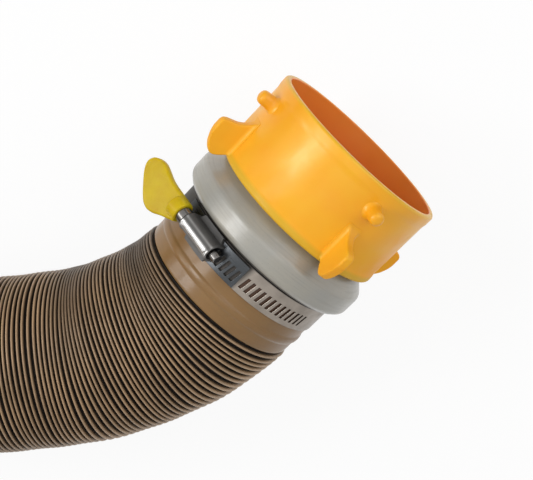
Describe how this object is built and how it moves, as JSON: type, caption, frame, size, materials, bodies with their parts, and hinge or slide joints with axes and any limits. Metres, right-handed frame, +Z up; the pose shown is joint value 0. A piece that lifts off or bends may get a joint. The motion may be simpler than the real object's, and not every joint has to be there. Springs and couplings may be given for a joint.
{
  "type": "sewer hose kit",
  "caption": "Ribbed sewer hose pushed together in a loose U, with a turning lug ring on one end, a turning bayonet ring on the other, grey couplers and worm-drive clamps with thumb keys.",
  "frame": {"origin": "centre of the lug ring's mouth", "axes": "+X out of the lug ring's mouth, along its axis; +Z up from the ground that the hose lies on; +Y towards the side that the hose turns to"},
  "size_m": [0.885, 0.4853, 0.1257],
  "materials": {
    "ring_plastic": "satin moulded, orange-yellow",
    "coupler_plastic": "matt moulded, mid grey",
    "hose_vinyl": "satin brown vinyl",
    "cuff_vinyl": "satin brown vinyl",
    "seal_rubber": "matt black",
    "spring_steel": "drawn",
    "clamp_steel": "bright rolled stainless",
    "screw_steel": "turned and plated",
    "key_plastic": "slightly translucent, yellow"
  },
  "bodies": {
    "hose": {"swivel_o_ring": "seal_rubber", "swivel_retaining_ring": "spring_steel", "coupler": "coupler_plastic", "cuff_washer": "seal_rubber", "hose_cuff": "cuff_vinyl", "clamp_band": "clamp_steel", "clamp_saddle": "clamp_steel", "clamp_housing": "clamp_steel", "hose_wall": "hose_vinyl", "far_hose_cuff": "cuff_vinyl", "far_cuff_washer": "seal_rubber", "far_coupler": "coupler_plastic", "far_o_ring": "seal_rubber", "far_retaining_ring": "spring_steel", "far_clamp_band": "clamp_steel", "far_clamp_saddle": "clamp_steel", "far_clamp_housing": "clamp_steel"},
    "swivel": {"swivel_ring": "ring_plastic"},
    "screw": {"clamp_screw": "screw_steel", "clamp_key": "key_plastic"},
    "tail": {"clamp_tail": "clamp_steel"},
    "far_swivel": {"bayonet_ring": "ring_plastic", "bayonet_seal": "seal_rubber"},
    "far_screw": {"far_clamp_screw": "screw_steel", "far_clamp_key": "key_plastic"},
    "far_tail": {"far_clamp_tail": "clamp_steel"}
  },
  "joints": [
    {"name": "swivel_turn", "type": "hinge", "parent": "hose", "child": "swivel", "pos_m": [-0.041, 0, 0], "axis": [1, 0, 0], "continuous": true},
    {"name": "screw_turn", "type": "hinge", "parent": "hose", "child": "screw", "pos_m": [-0.0742, 0.03217, 0.03834], "axis": [0, 0.766, -0.6428], "range_deg": [0, 1080]},
    {"name": "tail_slide", "type": "hinge", "parent": "hose", "child": "tail", "pos_m": [-0.0742, 0, 0], "axis": [1, 0, 0], "range_deg": [0, 11.86]},
    {"name": "far_swivel_turn", "type": "hinge", "parent": "hose", "child": "far_swivel", "pos_m": [0.47, 0.348, -0.004], "axis": [1, 0, 0], "continuous": true},
    {"name": "far_screw_turn", "type": "hinge", "parent": "hose", "child": "far_screw", "pos_m": [0.4368, 0.32685, 0.04136], "axis": [0, 0.9063, 0.4226], "range_deg": [0, 1080]},
    {"name": "far_tail_slide", "type": "hinge", "parent": "hose", "child": "far_tail", "pos_m": [0.4368, 0.348, -0.004], "axis": [1, 0, 0], "range_deg": [0, 11.86]}
  ],
  "couplings": [
    {"joint": "tail_slide", "follows": "screw_turn", "ratio": 0.010985},
    {"joint": "far_tail_slide", "follows": "far_screw_turn", "ratio": 0.010985}
  ]
}
